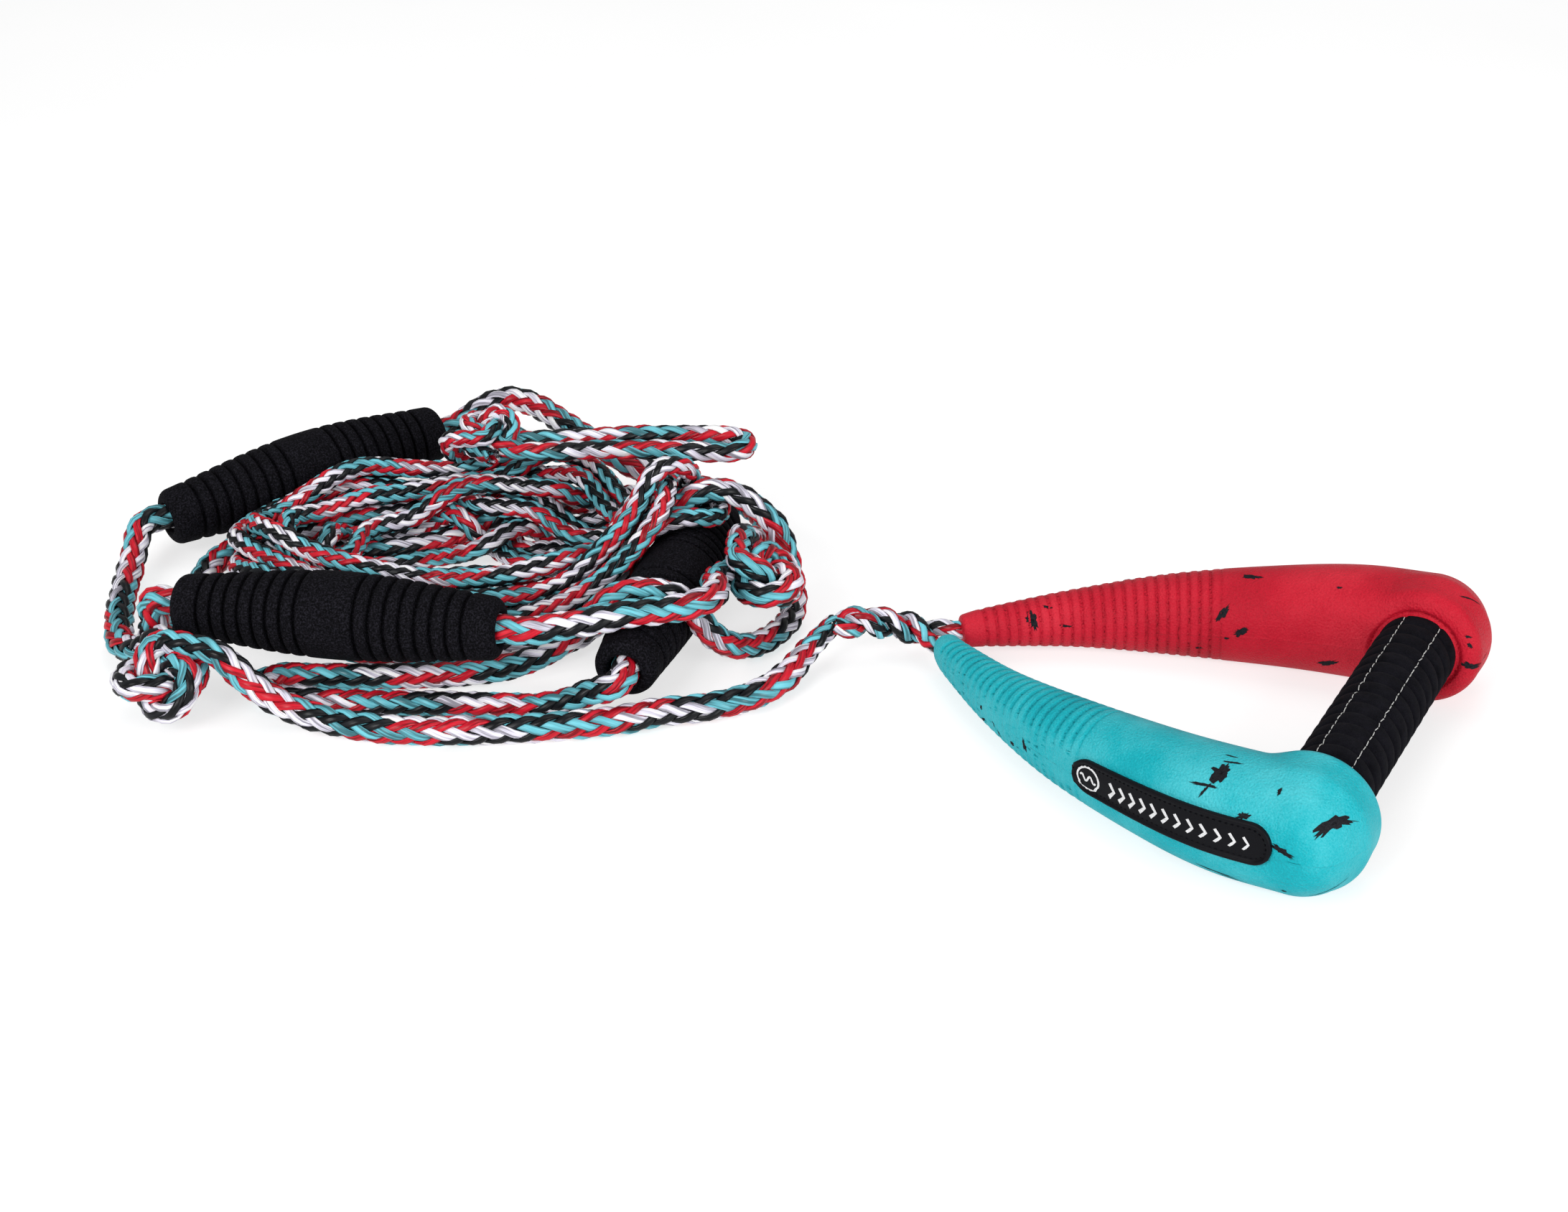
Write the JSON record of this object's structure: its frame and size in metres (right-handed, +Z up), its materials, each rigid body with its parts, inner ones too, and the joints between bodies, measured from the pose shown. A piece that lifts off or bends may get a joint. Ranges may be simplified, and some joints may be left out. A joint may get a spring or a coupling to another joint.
{
  "type": "tow rope handle",
  "caption": "Tow handle: two bowed foam arms joined by a wrapped grip bar, on a coiled braided rope with foam floats and a loop at its end.",
  "frame": {"origin": "on the floor, under the middle of the whole part as it lies", "axes": "+Z up; the rope coil lies towards -X, and the handle lies towards +X and is turned 29 degrees towards -Y"},
  "size_m": [0.5906, 0.3791, 0.0689],
  "materials": {
    "thick_rope": "glossy braided polyethylene yarn in red, teal, black and white",
    "thin_rope": "glossy braided polyethylene yarn in red, teal, black and white",
    "float_foam": "matt closed-cell foam with turned grooves",
    "teal_foam": "satin moulded foam, leather grain, with black paint flecks",
    "red_foam": "satin moulded foam, leather grain, with black paint flecks",
    "tube": "anodised",
    "grip_core": "ribbed foam rubber",
    "suede": "brushed synthetic suede with two rows of pale stitching",
    "nylon": "moulded nylon",
    "badge": "soft moulded vinyl with a raised pale motif"
  },
  "bodies": {
    "root": {"float_line": "thick_rope", "main_line": "thin_rope"},
    "loop": {"boat_loop": "thin_rope"},
    "left_float": {"float_left": "float_foam"},
    "front_float": {"float_front": "float_foam"},
    "right_float": {"float_right": "float_foam"},
    "lead": {"lead_rope": "thick_rope"},
    "splice": {"bridle_splice": "thin_rope"},
    "handle": {"bridle_rope": "thin_rope", "arm_teal": "teal_foam", "arm_red": "red_foam", "grip_tube": "tube", "grip_core": "grip_core", "grip_cover": "suede", "end_plug_teal": "nylon", "end_plug_red": "nylon", "badge_teal": "badge", "badge_red": "badge"}
  },
  "joints": [
    {"name": "left_float_slide", "type": "slide", "parent": "root", "child": "left_float", "axis": [0.809, 0.5871, 0.0286], "range_m": [-0.01, 0.01]},
    {"name": "front_float_slide", "type": "slide", "parent": "root", "child": "front_float", "axis": [-0.978, 0.2055, -0.0354], "range_m": [-0.01, 0.002]},
    {"name": "right_float_slide", "type": "slide", "parent": "root", "child": "right_float", "axis": [-0.2434, -0.9699, 0.0072], "range_m": [-0.002, 0.003]},
    {"name": "loop_lift", "type": "hinge", "parent": "root", "child": "loop", "pos_m": [-0.1131, 0.0906, 0.054], "axis": [0, -1, 0], "range_deg": [0, 60]},
    {"name": "lead_swing", "type": "hinge", "parent": "root", "child": "lead", "pos_m": [-0.0331, -0.0554, 0.007], "axis": [0, 0, 1], "range_deg": [-15, 5]},
    {"name": "handle_swing", "type": "hinge", "parent": "lead", "child": "splice", "pos_m": [0.0209, -0.0074, 0.016], "axis": [0, 0, 1], "range_deg": [-25, 25]},
    {"name": "handle_lift", "type": "hinge", "parent": "splice", "child": "handle", "pos_m": [0.0709, -0.0054, 0.0105], "axis": [-0.4848, -0.8746, 0], "range_deg": [0, 70]}
  ]
}
